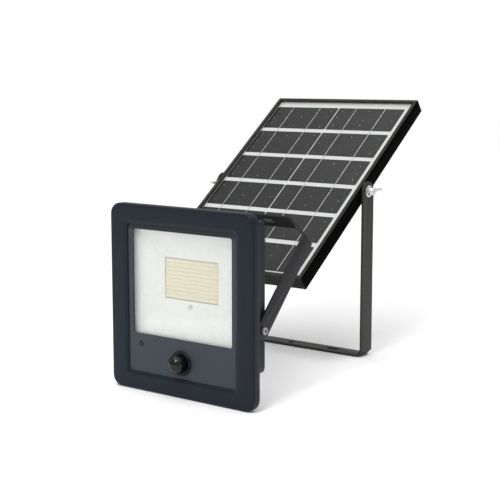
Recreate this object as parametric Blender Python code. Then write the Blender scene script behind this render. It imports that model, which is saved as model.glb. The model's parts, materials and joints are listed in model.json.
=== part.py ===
"""Solar flood light: an LED flood lamp on a leaning yoke, and its solar panel in a U bracket.

Metres, +Z up, the front of the lamp faces -Y. The origin is on the floor, at the middle of the
object's bounding box. Both units stand on the floor as they rest.
"""

import math

import bmesh
import bpy
from mathutils import Matrix, Vector

# ---------------------------------------------------------------- driving dimensions (metres)
GAP = 0.0003  # between pieces that touch

# Lamp head, measured from its front plane (y = 0) and from the floor (z = 0)
HEAD_W = 0.235
HEAD_H = 0.243
BEZEL_DEPTH = 0.013
BEZEL_WALL = 0.003
CORNER_R = 0.015
OPENING = (0.089, 0.024, 0.218)  # half width, bottom and top of the bezel's opening
WINDOW = (0.081, 0.075, 0.211)  # the same, of the light window
CASING = (0.109, 0.042, 0.233)  # the same, of the rear casing
CASING_BACK = 0.036
CASING_WALL = 0.0025
FIN_HEIGHT = 0.004
FIN_COUNT = 11
FLANGE_FRONT = 0.0106  # the casing's flange, which closes the bezel from behind
FLANGE_BACK = BEZEL_DEPTH - GAP
PLATE_FRONT = BEZEL_WALL + 0.0006
PLATE_T = 0.002
GLASS_T = 0.003
REFLECTOR_FLOOR = 0.0240
REFLECTOR_WALL = 0.0015
LED_HOLE = (0.0440, 0.1215, 0.1750)  # half width, bottom and top of the hole in the reflector
LED_BOARD = (0.0500, 0.1140, 0.1825)  # the same, of the board behind it
LED_ARRAY = (0.0430, 0.1225, 0.1740)  # the same, of the yellow field
BOARD_FRONT = REFLECTOR_FLOOR + REFLECTOR_WALL + GAP
BOARD_T = 0.0016
PIR_Z = 0.045
PIR_DOME_R = 0.0123
PIR_DOME_CENTRE = -0.0045  # the dome's centre stands in front of the bezel
PIR_SHELL = 0.001
IR_X = -0.068
IR_Z = 0.0615
IR_HOLE_R = 0.0038
GLAND_X = 0.060
GLAND_Y = 0.0245
GLAND_THREAD_R = 0.006
GLAND_BORE_R = 0.0035
VENT_X = -0.060
VENT_THREAD_R = 0.004
CELL_R = 0.0092  # round lithium cells, 18.4 x 65 mm
CELL_LENGTH = 0.065
CELL_PITCH = 0.067
CELL_Y = 0.0224
CELL_Z = 0.058

# Yoke of the lamp
YOKE_W = 0.023
YOKE_T = 0.0025
YOKE_REACH = 0.163  # pivot to the middle of the crossbar's thickness
YOKE_CORNER = (0.034, 0.023)  # cut-off corner, across and along the arm
YOKE_LEAN = math.radians(42.7)  # back from upright
YOKE_HALF = CASING[0] + 0.0015 + YOKE_T / 2
HEAD_PIVOT_Y = BEZEL_DEPTH + YOKE_W / 2 + 0.001
HEAD_PIVOT_Z = 0.098
PIVOT_HOLE_R = 0.0033

# Solar panel, measured from the middle of its own thickness
PANEL_W = 0.258
PANEL_L = 0.384
PANEL_T = 0.021
PANEL_TILT = math.radians(37.3)
RAIL_LIP = 0.0055
RAIL_WALL = 0.0018
SHELF = PANEL_T / 2 - 0.006  # where the laminate lies in the rails
BACKSHEET = (SHELF + GAP, SHELF + 0.0010)
SILICON = (SHELF + 0.0013, SHELF + 0.0016)
GLASS = (SHELF + 0.0019, SHELF + 0.0041)
CELL_ROWS = 6
CELL_COLUMNS = 2
ROW_GAP = 0.0085  # white strip between the rows of cells
COLUMN_GAP = 0.002
CELL_MARGINS = (0.0003, 0.0097, 0.0065, 0.012)  # lip to cells: left, right, bottom and top

# Bracket of the panel
STRAP_W = 0.028
STRAP_T = 0.0028
STRAP_HALF = PANEL_W / 2 + 0.002 + STRAP_T / 2
STRAP_BEND = (0.007, 0.007)
PANEL_PIVOT_Z = 0.2415
STUD_Z = -0.0030  # the tilt studs pass between the shelf and the back lip of the side rails
STUD_R = 0.0025
STUD_HOLE_R = 0.0028
WASHER_R = 0.0085
WING_ANGLE = math.radians(-80) - PANEL_TILT  # the wings lie nearly level beside the tilted panel

# Where the two units stand beside each other
UNITS_APART_Y = 0.342  # lamp's front plane to the panel's tilt axis
UNITS_APART_X = 0.070  # lamp's middle to the right of the panel's middle
WING_TIP_X = STRAP_HALF + STRAP_T / 2 + 0.0155
PANEL_REACH_Y = PANEL_L / 2 * math.cos(PANEL_TILT) + PANEL_T / 2 * math.sin(PANEL_TILT)
DOME_TIP_Y = PIR_DOME_CENTRE - PIR_DOME_R
PANEL_X = (WING_TIP_X - HEAD_W / 2 - UNITS_APART_X) / 2
LAMP_X = PANEL_X + UNITS_APART_X
LAMP_Y = -(DOME_TIP_Y + UNITS_APART_Y + PANEL_REACH_Y) / 2
PANEL_Y = LAMP_Y + UNITS_APART_Y

ROUND = 24  # sides of a round piece


# ---------------------------------------------------------------- materials
def material(name, colour, roughness, metallic=0.0, alpha=1.0):
    made = bpy.data.materials.new(name)
    made.use_nodes = True
    shader = made.node_tree.nodes["Principled BSDF"]
    shader.inputs["Base Color"].default_value = (*colour, 1.0)
    shader.inputs["Roughness"].default_value = roughness
    shader.inputs["Metallic"].default_value = metallic
    shader.inputs["Alpha"].default_value = alpha
    made.diffuse_color = (*colour, alpha)
    return made


def materials():
    return {
        "anthracite": material("anthracite_paint", (0.045, 0.052, 0.066), 0.5),
        "strap": material("dark_grey_strap", (0.058, 0.056, 0.064), 0.5),
        "glass": material("clear_glass", (0.9, 0.92, 0.92), 0.08, alpha=0.35),
        "white": material("white_reflector", (0.82, 0.82, 0.79), 0.4),
        "phosphor": material("yellow_phosphor", (0.86, 0.80, 0.58), 0.5),
        "board": material("green_board", (0.05, 0.16, 0.08), 0.5),
        "black": material("black_plastic", (0.012, 0.012, 0.013), 0.3),
        "dome": material("black_gloss", (0.006, 0.006, 0.007), 0.06),
        "rubber": material("black_rubber", (0.016, 0.016, 0.017), 0.7),
        "cell": material("blue_sleeve", (0.03, 0.10, 0.30), 0.4),
        "steel": material("zinc_steel", (0.62, 0.62, 0.62), 0.3, metallic=1.0),
        "frame": material("black_frame", (0.014, 0.014, 0.014), 0.45),
        "backsheet": material("white_backsheet", (0.80, 0.80, 0.80), 0.5),
        "silicon": material("dark_silicon", (0.07, 0.07, 0.07), 0.35),
    }


# ---------------------------------------------------------------- outlines
def rounded_rectangle(half_width, bottom, top, radius, steps=4):
    """(x, z) points, anticlockwise as seen from the front."""
    corners = (
        (half_width - radius, bottom + radius, -90),
        (half_width - radius, top - radius, 0),
        (-half_width + radius, top - radius, 90),
        (-half_width + radius, bottom + radius, 180),
    )
    points = []
    for x, z, start in corners:
        for step in range(steps + 1):
            angle = math.radians(start + 90 * step / steps)
            points.append((x + radius * math.cos(angle), z + radius * math.sin(angle)))
    return points


def at_depth(outline, y):
    return [Vector((x, y, z)) for x, z in outline]


# ---------------------------------------------------------------- solids
def facing_out(mesh):
    bmesh.ops.recalc_face_normals(mesh, faces=mesh.faces)
    return mesh


def loft(loops, ends):
    """A solid through loops of equal length: ends is capped, or ring, which joins the last to the first."""
    mesh = bmesh.new()
    rings = [[mesh.verts.new(point) for point in loop] for loop in loops]
    pairs = list(zip(rings, rings[1:]))
    if ends == "ring":
        pairs.append((rings[-1], rings[0]))
    else:
        mesh.faces.new(rings[0])
        mesh.faces.new(rings[-1])
    for lower, upper in pairs:
        count = len(lower)
        for i in range(count):
            after = (i + 1) % count
            mesh.faces.new((lower[i], lower[after], upper[after], upper[i]))
    return facing_out(mesh)


def extruded(outline, along, to_space):
    """The prism of a flat (u, v) outline from along[0] to along[1]; to_space places (u, v, w)."""
    start, end = along
    return loft([[to_space(u, v, w) for u, v in outline] for w in (start, end)], "capped")


def box(low, high):
    mesh = bmesh.new()
    bmesh.ops.create_cube(mesh, size=1)
    low, high = Vector(low), Vector(high)
    size = high - low
    place = Matrix.Translation((low + high) / 2) @ Matrix.Diagonal((*size, 1))
    bmesh.ops.transform(mesh, matrix=place, verts=mesh.verts)
    return mesh


def turned(profile, axis, centre=(0, 0, 0), sides=ROUND):
    """A closed (radius, height) profile turned about axis; points on the axis have radius 0."""
    turn = {"X": Matrix.Rotation(math.pi / 2, 4, "Y"), "Z": Matrix.Identity(4)}
    turn["Y"] = Matrix.Rotation(-math.pi / 2, 4, "X")
    place = Matrix.Translation(Vector(centre)) @ turn[axis]
    mesh = bmesh.new()
    rings = []
    for radius, height in profile:
        if radius == 0:
            rings.append([mesh.verts.new(place @ Vector((0, 0, height)))] * sides)
            continue
        angles = (2 * math.pi * (i + 0.5) / sides for i in range(sides))
        rings.append([
            mesh.verts.new(place @ Vector((radius * math.cos(a), radius * math.sin(a), height)))
            for a in angles
        ])
    for lower, upper in zip(rings, rings[1:] + rings[:1]):
        for i in range(sides):
            after = (i + 1) % sides
            corners = dict.fromkeys((lower[i], lower[after], upper[after], upper[i]))
            if len(corners) > 2:
                mesh.faces.new(tuple(corners))
    return facing_out(mesh)


def disc(radius, low, high, axis, centre=(0, 0, 0), sides=ROUND):
    return turned([(0, low), (radius, low), (radius, high), (0, high)], axis, centre, sides)


def tube(inner, outer, low, high, axis, centre=(0, 0, 0), sides=ROUND):
    profile = [(inner, low), (outer, low), (outer, high), (inner, high)]
    return turned(profile, axis, centre, sides)


# ---------------------------------------------------------------- objects
def empty(name, location, rotation_x=0.0, parent=None):
    made = bpy.data.objects.new(name, None)
    made.empty_display_size = 0.02
    made.location = location
    made.rotation_euler = (rotation_x, 0, 0)
    made.parent = parent
    bpy.context.scene.collection.objects.link(made)
    return made


def piece(name, mesh, look, parent, offset=(0, 0, 0)):
    data = bpy.data.meshes.new(name)
    mesh.to_mesh(data)
    mesh.free()
    data.materials.append(look)
    data.shade_smooth()
    data.set_sharp_from_angle(angle=math.radians(32))
    made = bpy.data.objects.new(name, data)
    made.location = offset
    made.parent = parent
    bpy.context.scene.collection.objects.link(made)
    return made


def combine(target, operation, meshes):
    """Unites every mesh with the target, or cuts every mesh from it, in the target's own frame."""
    for number, mesh in enumerate(meshes, 1):
        name = f"{target.name}_{operation.lower()}_{number}"
        helper = piece(name, mesh, target.data.materials[0], target.parent, target.location)
        helper.hide_render = True
        helper.display_type = "WIRE"
        step = target.modifiers.new(name, "BOOLEAN")
        step.operation = operation
        step.solver = "EXACT"
        step.object = helper


# ---------------------------------------------------------------- bent straps
def strap(name, half, reach, width, thickness, corner, hole_r, look, parent):
    """A U of flat strap, and the cutters of its pivot holes.

    The arms stand at x = +-half, from z = 0 to the crossbar at z = reach, and y is the strap's width.
    """
    sign = math.copysign(1, reach)
    across, along = corner
    slope = math.hypot(across, along)

    def side(offset):
        """The corner points at +x of the face that lies offset outside the strap's middle."""
        trim_along = offset * (slope - across) / along
        trim_across = offset * (slope - along) / across
        return [
            (half + offset, 0),
            (half + offset, reach - sign * (along - trim_along)),
            (half - across + trim_across, reach + sign * offset),
        ]

    outer = side(thickness / 2)
    inner = side(-thickness / 2)
    outline = outer + [(-x, z) for x, z in reversed(outer)]
    outline += [(-x, z) for x, z in inner] + list(reversed(inner))
    mesh = extruded(outline, (-width / 2, width / 2), lambda u, v, w: Vector((u, w, v)))
    made = piece(name, mesh, look, parent)
    ends = []
    for x in (-half, half):
        ends.append(disc(width / 2, -thickness / 2, thickness / 2, "X", (x, 0, 0), 32))
    combine(made, "UNION", ends)
    holes = []
    for x in (-half, half):
        holes.append(disc(hole_r, -thickness, thickness, "X", (x, 0, 0)))
    return made, holes


def slot(length, width, centre_x, z, thickness):
    """The cutter of a long hole along x through a crossbar."""
    run = (length - width) / 2
    outline = []
    for centre, start in ((run, -90), (-run, 90)):
        for step in range(9):
            angle = math.radians(start + 180 * step / 8)
            outline.append((
                centre_x + centre + width / 2 * math.cos(angle),
                width / 2 * math.sin(angle),
            ))
    return extruded(outline, (z - thickness, z + thickness), lambda u, v, w: Vector((u, v, w)))


# ---------------------------------------------------------------- lamp head
def front_bezel(looks, parent, offset):
    """The outer frame: a rounded front rim with a deep skirt, open behind, and four screw bosses."""
    half = HEAD_W / 2
    edge = 0.002
    opening = rounded_rectangle(*OPENING, 0.005)
    front = rounded_rectangle(half - edge, edge, HEAD_H - edge, CORNER_R - edge)
    outer = rounded_rectangle(half, 0, HEAD_H, CORNER_R)
    pocket = rounded_rectangle(
        half - BEZEL_WALL, BEZEL_WALL, HEAD_H - BEZEL_WALL, CORNER_R - BEZEL_WALL
    )
    loops = [
        at_depth(opening, 0),
        at_depth(front, 0),
        at_depth(outer, edge),
        at_depth(outer, BEZEL_DEPTH),
        at_depth(pocket, BEZEL_DEPTH),
        at_depth(pocket, BEZEL_WALL),
        at_depth(opening, BEZEL_WALL),
    ]
    made = piece("front_bezel", loft(loops, "ring"), looks["anthracite"], parent, offset)
    bosses = []
    pilots = []
    for x, z in screw_places():
        bosses.append(disc(0.0044, BEZEL_WALL - 0.001, FLANGE_FRONT - GAP, "Y", (x, 0, z), 16))
        pilots.append(disc(0.0018, BEZEL_WALL, FLANGE_FRONT, "Y", (x, 0, z), 12))
    combine(made, "UNION", bosses)
    combine(made, "DIFFERENCE", pilots)


def screw_places():
    low_x, low_z = 0.103, 0.014
    high_x, high_z = 0.070, CASING[2] + 0.0034
    return [(-low_x, low_z), (low_x, low_z), (-high_x, high_z), (high_x, high_z)]


def front_plate(looks, parent, offset):
    """The recessed face inside the bezel, with openings for the window, the sensor and the receiver."""
    half, bottom, top = OPENING
    lap = 0.004
    back = PLATE_FRONT + PLATE_T
    outline = rounded_rectangle(half + lap, bottom - lap, top + lap, 0.008)
    window = rounded_rectangle(*WINDOW, 0.0035)
    loops = [
        at_depth(window, PLATE_FRONT),
        at_depth(outline, PLATE_FRONT),
        at_depth(outline, back),
        at_depth(window, back),
    ]
    made = piece("front_plate", loft(loops, "ring"), looks["anthracite"], parent, offset)
    combine(made, "DIFFERENCE", [
        disc(0.0145, 0, 0.01, "Y", (0, 0, PIR_Z), 32),
        disc(IR_HOLE_R, 0, 0.01, "Y", (IR_X, 0, IR_Z), 16),
    ])


def light_window(looks, parent, offset):
    """The gasket, the glass behind it, and the white tray that throws the light forward."""
    half, bottom, top = WINDOW
    lap = 0.007
    glass = rounded_rectangle(half + lap, bottom - lap, top + lap, 0.004)
    seal = rounded_rectangle(half + 0.0015, bottom - 0.0015, top + 0.0015, 0.004)
    gasket_front = PLATE_FRONT + PLATE_T + GAP
    gasket_back = gasket_front + 0.0007
    glass_front = gasket_back + GAP
    glass_back = glass_front + GLASS_T
    ring = [
        at_depth(seal, gasket_front),
        at_depth(glass, gasket_front),
        at_depth(glass, gasket_back),
        at_depth(seal, gasket_back),
    ]
    piece("window_gasket", loft(ring, "ring"), looks["rubber"], parent, offset)
    slab = [at_depth(glass, glass_front), at_depth(glass, glass_back)]
    piece("window_glass", loft(slab, "capped"), looks["glass"], parent, offset)

    rim_y = glass_back + GAP
    floor_y = REFLECTOR_FLOOR
    wall = REFLECTOR_WALL
    rim = rounded_rectangle(half + 0.0035, bottom - 0.0035, top + 0.0035, 0.003)
    lip = rounded_rectangle(half + 0.005, bottom - 0.005, top + 0.005, 0.0045)
    floor = rounded_rectangle(*LED_HOLE, 0.001)
    under = rounded_rectangle(LED_HOLE[0] + wall, LED_HOLE[1] - wall, LED_HOLE[2] + wall, 0.0025)
    tray = [
        at_depth(lip, rim_y),
        at_depth(rim, rim_y),
        at_depth(floor, floor_y),
        at_depth(floor, floor_y + wall),
        at_depth(under, floor_y + wall),
        at_depth(lip, rim_y + wall),
    ]
    piece("reflector", loft(tray, "ring"), looks["white"], parent, offset)


def led_engine(looks, parent, offset):
    """The board behind the reflector, and on it the yellow field of LEDs that fills the hole."""
    half, bottom, top = LED_BOARD
    board = box((-half, BOARD_FRONT, bottom), (half, BOARD_FRONT + BOARD_T, top))
    piece("led_board", board, looks["white"], parent, offset)
    half, bottom, top = LED_ARRAY
    field = box((-half, BOARD_FRONT - 0.0016, bottom), (half, BOARD_FRONT - GAP, top))
    piece("led_array", field, looks["phosphor"], parent, offset)


def motion_sensor(looks, parent, offset):
    """The black dome in its collar, with the sensor can and its board behind."""
    back = 0.008
    shell = PIR_SHELL
    bore = PIR_DOME_R + GAP
    collar = [
        (bore, 0.0013),
        (0.0152, 0.0013),
        (0.0162, 0.0023),
        (0.0162, PLATE_FRONT - GAP),
        (0.0141, PLATE_FRONT - GAP),
        (0.0141, back),
        (bore, back),
    ]
    centre = (0, 0, PIR_Z)
    piece("pir_collar", turned(collar, "Y", centre, 32), looks["black"], parent, offset)
    steps = 6
    dome = [(PIR_DOME_R, back)]
    for radius, order in ((PIR_DOME_R, 1), (PIR_DOME_R - shell, -1)):
        arc = []
        for step in range(steps + 1):
            angle = math.pi / 2 * step / steps
            across = 0 if step == steps else radius * math.cos(angle)
            arc.append((across, PIR_DOME_CENTRE - radius * math.sin(angle)))
        dome += arc[::order]
    dome.append((PIR_DOME_R - shell, back))
    piece("pir_dome", turned(dome, "Y", centre, 32), looks["dome"], parent, offset)
    piece(
        "pir_sensor", disc(0.0046, 0.0046, 0.0084, "Y", centre), looks["steel"], parent, offset
    )
    half = 0.016
    board = box((-half, 0.0087, PIR_Z - half), (half, 0.0102, PIR_Z + half))
    piece("pir_board", board, looks["board"], parent, offset)


def remote_receiver(looks, parent, offset):
    """The small dark lens at the left of the plate, and the receiver behind it."""
    centre = (IR_X, 0, IR_Z)
    lens = disc(IR_HOLE_R - GAP, PLATE_FRONT - 0.0004, 0.007, "Y", centre, 16)
    piece("ir_window", lens, looks["black"], parent, offset)
    half = 0.003
    body = box((IR_X - half, 0.0073, IR_Z - half), (IR_X + half, 0.0103, IR_Z + half))
    piece("ir_receiver", body, looks["black"], parent, offset)


def rear_casing(looks, parent, offset):
    """The finned aluminium box: a flange that closes the bezel from behind, and a hollow body."""
    half, bottom, top = CASING
    wall = CASING_WALL
    inset = BEZEL_WALL + GAP
    edge = 0.002
    flange = rounded_rectangle(HEAD_W / 2 - inset, inset, HEAD_H - inset, CORNER_R - inset)
    body = rounded_rectangle(half, bottom, top, 0.008)
    rear = rounded_rectangle(half - edge, bottom + edge, top - edge, 0.006)
    cavity = rounded_rectangle(half - wall, bottom + wall, top - wall, 0.0055)
    loops = [
        at_depth(cavity, CASING_BACK - wall),
        at_depth(cavity, FLANGE_FRONT),
        at_depth(flange, FLANGE_FRONT),
        at_depth(flange, FLANGE_BACK),
        at_depth(body, FLANGE_BACK),
        at_depth(body, CASING_BACK - edge),
        at_depth(rear, CASING_BACK),
    ]
    made = piece("rear_casing", loft(loops, "capped"), looks["anthracite"], parent, offset)
    fins = []
    spread = 0.172
    for number in range(FIN_COUNT):
        x = spread * (number / (FIN_COUNT - 1) - 0.5)
        low = (x - 0.001, CASING_BACK - 0.001, bottom + 0.012)
        high = (x + 0.001, CASING_BACK + FIN_HEIGHT, top - 0.012)
        fins.append(box(low, high))
    combine(made, "UNION", fins)
    holes = [disc(0.0018, 0.008, 0.014, "Y", (x, 0, z), 12) for x, z in screw_places()]
    for x in (-half, half):
        holes.append(disc(PIVOT_HOLE_R, -0.006, 0.006, "X", (x, HEAD_PIVOT_Y, HEAD_PIVOT_Z)))
    for x, radius in ((GLAND_X, GLAND_THREAD_R), (VENT_X, VENT_THREAD_R)):
        holes.append(disc(radius + GAP, -0.006, 0.006, "Z", (x, GLAND_Y, bottom)))
    combine(made, "DIFFERENCE", holes)


def gland(names, looks, parent, offset, centre, axis, sign):
    """A cable gland: a hexagonal body with a threaded neck, and its domed nut, open right through."""
    bore = GLAND_BORE_R
    body = [
        (bore, sign * CASING_WALL),
        (GLAND_THREAD_R, sign * CASING_WALL),
        (GLAND_THREAD_R, -sign * GAP),
        (0.0088, -sign * GAP),
        (0.0088, -sign * 0.0065),
        (bore, -sign * 0.0065),
    ]
    nut = [
        (bore, -sign * (0.0065 + GAP)),
        (0.0084, -sign * (0.0065 + GAP)),
        (0.0084, -sign * 0.014),
        (0.0055, -sign * 0.019),
        (bore, -sign * 0.019),
    ]
    for name, profile, sides in zip(names, (body, nut), (6, 12)):
        piece(name, turned(profile, axis, centre, sides), looks["black"], parent, offset)


def casing_fittings(looks, parent, offset):
    """The gland and vent under the casing's lower face, and the four screws of the flange."""
    under = CASING[1]
    centre = (GLAND_X, GLAND_Y, under)
    gland(("lamp_gland", "lamp_gland_nut"), looks, parent, offset, centre, "Z", 1)
    plug = [
        (0, CASING_WALL),
        (VENT_THREAD_R, CASING_WALL),
        (VENT_THREAD_R, -GAP),
        (0.0065, -GAP),
        (0.0065, -0.003),
        (0.005, -0.004),
        (0, -0.004),
    ]
    vent = turned(plug, "Z", (VENT_X, GLAND_Y, under), 16)
    piece("vent_plug", vent, looks["black"], parent, offset)
    for number, (x, z) in enumerate(screw_places(), 1):
        screw = [
            (0, FLANGE_BACK - 0.007),
            (0.0015, FLANGE_BACK - 0.007),
            (0.0015, FLANGE_BACK + GAP),
            (0.0029, FLANGE_BACK + GAP),
            (0.0029, FLANGE_BACK + 0.0016),
            (0.0018, FLANGE_BACK + 0.0024),
            (0, FLANGE_BACK + 0.0024),
        ]
        made = turned(screw, "Y", (x, 0, z), 12)
        piece(f"casing_screw_{number}", made, looks["steel"], parent, offset)


def electronics(looks, parent, offset):
    """Three round cells in a tray across the bottom of the casing, and the controller board."""
    floor_z = CASING[1] + CASING_WALL + GAP
    wall = 0.0012
    front, back = 0.0116, 0.0332
    lip = floor_z + 0.014
    section = [
        (front, floor_z),
        (back, floor_z),
        (back, lip),
        (back - wall, lip),
        (back - wall, floor_z + wall),
        (front + wall, floor_z + wall),
        (front + wall, lip),
        (front, lip),
    ]
    tray = extruded(section, (-0.102, 0.102), lambda u, v, w: Vector((w, u, v)))
    piece("battery_tray", tray, looks["black"], parent, offset)
    for number, x in enumerate((-CELL_PITCH, 0.0, CELL_PITCH), 1):
        half = CELL_LENGTH / 2
        cell = [
            (0, -half),
            (CELL_R, -half),
            (CELL_R, half - 0.0015),
            (0.003, half - 0.0015),
            (0.003, half),
            (0, half),
        ]
        made = turned(cell, "X", (x, CELL_Y, CELL_Z))
        piece(f"battery_cell_{number}", made, looks["cell"], parent, offset)
    board = box((-0.050, 0.0294, 0.150), (0.050, 0.0310, 0.222))
    piece("controller_board", board, looks["board"], parent, offset)


def pivot_bolts(looks, parent):
    """The bolt and washer at each side, on the tilt axis; x grows away from the head."""
    arm_out = YOKE_HALF + YOKE_T / 2
    shank = 0.0029
    for side, sign in (("left", -1), ("right", 1)):
        bolt = [
            (0, sign * (CASING[0] - 0.008)),
            (shank, sign * (CASING[0] - 0.008)),
            (shank, sign * (arm_out + GAP)),
            (0.0048, sign * (arm_out + GAP)),
            (0.0048, sign * (arm_out + 0.0032)),
            (0.0038, sign * (arm_out + 0.0040)),
            (0, sign * (arm_out + 0.0040)),
        ]
        piece(f"pivot_bolt_{side}", turned(bolt, "X"), looks["steel"], parent)
        low, high = CASING[0] + GAP, CASING[0] + 0.0012
        washer = tube(PIVOT_HOLE_R, 0.007, sign * low, sign * high, "X")
        piece(f"pivot_washer_{side}", washer, looks["black"], parent)


def lamp(looks):
    yoke_axis = empty("yoke_axis", (LAMP_X, LAMP_Y + HEAD_PIVOT_Y, HEAD_PIVOT_Z), -YOKE_LEAN)
    yoke, holes = strap(
        "lamp_yoke", YOKE_HALF, YOKE_REACH, YOKE_W, YOKE_T, YOKE_CORNER, PIVOT_HOLE_R,
        looks["strap"], yoke_axis,
    )
    crossbar = [slot(0.018, 0.0085, x, YOKE_REACH, YOKE_T) for x in (-0.038, 0.038)]
    crossbar.append(disc(0.0042, -YOKE_T, YOKE_T, "Z", (0, 0, YOKE_REACH)))
    combine(yoke, "DIFFERENCE", holes + crossbar)

    head_axis = empty("head_axis", (LAMP_X, LAMP_Y + HEAD_PIVOT_Y, HEAD_PIVOT_Z))
    offset = (0, -HEAD_PIVOT_Y, -HEAD_PIVOT_Z)
    makers = (
        front_bezel, front_plate, light_window, led_engine, motion_sensor, remote_receiver,
        rear_casing, casing_fittings, electronics,
    )
    for maker in makers:
        maker(looks, head_axis, offset)
    pivot_bolts(looks, head_axis)


# ---------------------------------------------------------------- solar panel
def rail(name, length, across, turn, looks, parent):
    """A mitred rail of E section: back lip, shelf and front lip on one outer wall."""
    low, high = -PANEL_T / 2, PANEL_T / 2
    lip, wall, sheet = RAIL_LIP, RAIL_WALL, 0.0016
    section = [
        (0, low), (lip, low), (lip, low + sheet), (wall, low + sheet),
        (wall, SHELF - sheet), (lip, SHELF - sheet), (lip, SHELF), (wall, SHELF),
        (wall, high - sheet), (lip, high - sheet), (lip, high), (0, high),
    ]
    mitre = GAP / 2
    loops = []
    for end in (-1, 1):
        loops.append([Vector((end * (length / 2 - u - mitre), u - across / 2, v)) for u, v in section])
    mesh = loft(loops, "capped")
    bmesh.ops.rotate(mesh, cent=(0, 0, 0), matrix=Matrix.Rotation(turn, 3, "Z"), verts=mesh.verts)
    return piece(name, mesh, looks["frame"], parent)


def panel_frame(looks, parent):
    rail("frame_bottom", PANEL_W, PANEL_L, 0, looks, parent)
    rail("frame_top", PANEL_W, PANEL_L, math.pi, looks, parent)
    left = rail("frame_left", PANEL_L, PANEL_W, -math.pi / 2, looks, parent)
    right = rail("frame_right", PANEL_L, PANEL_W, math.pi / 2, looks, parent)
    for side, sign in ((left, -1), (right, 1)):
        centre = (sign * (PANEL_W / 2 - RAIL_WALL / 2), 0, STUD_Z)
        combine(side, "DIFFERENCE", [disc(STUD_HOLE_R, -0.003, 0.003, "X", centre)])


def laminate(looks, parent):
    """The white backsheet, the silicon cells in rows, and the front glass."""
    lap = 0.0023
    half_x = PANEL_W / 2 - lap
    half_y = PANEL_L / 2 - lap
    for name, levels, look in (("backsheet", BACKSHEET, "backsheet"), ("panel_glass", GLASS, "glass")):
        slab = box((-half_x, -half_y, levels[0]), (half_x, half_y, levels[1]))
        piece(name, slab, looks[look], parent)
    left, right, bottom, top = CELL_MARGINS
    low_x = -PANEL_W / 2 + RAIL_LIP + left
    high_x = PANEL_W / 2 - RAIL_LIP - right
    low_y = -PANEL_L / 2 + RAIL_LIP + bottom
    high_y = PANEL_L / 2 - RAIL_LIP - top
    row_height = (high_y - low_y + ROW_GAP) / CELL_ROWS - ROW_GAP
    cell_width = (high_x - low_x + COLUMN_GAP) / CELL_COLUMNS - COLUMN_GAP
    for row in range(CELL_ROWS):
        y = low_y + row * (row_height + ROW_GAP)
        for column in range(CELL_COLUMNS):
            x = low_x + column * (cell_width + COLUMN_GAP)
            cell = box((x, y, SILICON[0]), (x + cell_width, y + row_height, SILICON[1]))
            piece(f"solar_cell_{row + 1}_{column + 1}", cell, looks["silicon"], parent)


def junction_box(looks, parent):
    """The box on the back of the laminate, with its lid and the gland of the lead to the lamp."""
    half_x, half_y = 0.032, 0.025
    y = 0.095
    top = SHELF - 0.0002
    back = top - 0.016
    wall = 0.002
    outer = rounded_rectangle(half_x, y - half_y, y + half_y, 0.004, 3)
    inner = rounded_rectangle(half_x - wall, y - half_y + wall, y + half_y - wall, 0.002, 3)
    levels = ((outer, top), (outer, back), (inner, back), (inner, top - wall))
    loops = [[Vector((u, v, z)) for u, v in outline] for outline, z in levels]
    case = piece("junction_box", loft(loops, "capped"), looks["black"], parent)
    z = top - 0.009
    neck = disc(GLAND_THREAD_R + GAP, -0.006, 0.006, "Y", (0, y - half_y, z))
    combine(case, "DIFFERENCE", [neck])
    lid = [[Vector((u, v, w)) for u, v in outer] for w in (back - GAP, back - 0.003)]
    piece("junction_lid", loft(lid, "capped"), looks["black"], parent)
    bore = 0.003
    body = [
        (bore, 0.004),
        (GLAND_THREAD_R - 0.001, 0.004),
        (GLAND_THREAD_R - 0.001, -GAP),
        (0.0072, -GAP),
        (0.0072, -0.008),
        (0.005, -0.014),
        (bore, -0.014),
    ]
    made = turned(body, "Y", (0, y - half_y, z), 12)
    piece("junction_gland", made, looks["black"], parent)


def wing_nut_meshes(sign):
    """A hub and its two rounded wings, which splay outwards; sign is the side of x that they face."""
    base = sign * (STRAP_HALF + STRAP_T / 2 + 0.0018)
    hub = turned(
        [
            (STUD_R + 0.0004, base),
            (0.0062, base),
            (0.0050, base + sign * 0.0080),
            (STUD_R + 0.0004, base + sign * 0.0080),
        ],
        "X",
    )
    wings = []
    for side in (-1, 1):
        outline = [
            (0.0040, 0.0012),
            (0.0085, 0.0030),
            (0.0140, 0.0066),
            (0.0152, 0.0102),
            (0.0135, 0.0133),
            (0.0100, 0.0136),
            (0.0072, 0.0105),
            (0.0040, 0.0074),
        ]
        wings.append(extruded(
            [(side * u, v) for u, v in outline],
            (-0.0012, 0.0012),
            lambda u, v, w: Vector((base + sign * v, w, u)),
        ))
    turn = Matrix.Rotation(WING_ANGLE, 3, "X")
    for mesh in (hub, *wings):
        bmesh.ops.rotate(mesh, cent=(0, 0, 0), matrix=turn, verts=mesh.verts)
    return hub, wings


def tilt_hardware(looks, parent):
    """On each side, from inside out: a carriage stud, a washer and a wing nut that can be spun."""
    arm_out = STRAP_HALF + STRAP_T / 2
    inside = PANEL_W / 2 - RAIL_WALL
    for side, sign in (("left", -1), ("right", 1)):
        stud = [
            (0, sign * (inside - GAP - 0.0028)),
            (0.0030, sign * (inside - GAP - 0.0028)),
            (0.0036, sign * (inside - GAP - 0.0020)),
            (0.0036, sign * (inside - GAP)),
            (STUD_R, sign * (inside - GAP)),
            (STUD_R, sign * (arm_out + 0.0125)),
            (0, sign * (arm_out + 0.0125)),
        ]
        piece(f"tilt_stud_{side}", turned(stud, "X"), looks["steel"], parent)
        washer = tube(
            STUD_HOLE_R, WASHER_R, sign * (arm_out + GAP), sign * (arm_out + 0.0015), "X"
        )
        piece(f"tilt_washer_{side}", washer, looks["steel"], parent)
        hub, wings = wing_nut_meshes(sign)
        nut = piece(f"wing_nut_{side}", hub, looks["steel"], parent)
        combine(nut, "UNION", wings)


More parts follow.
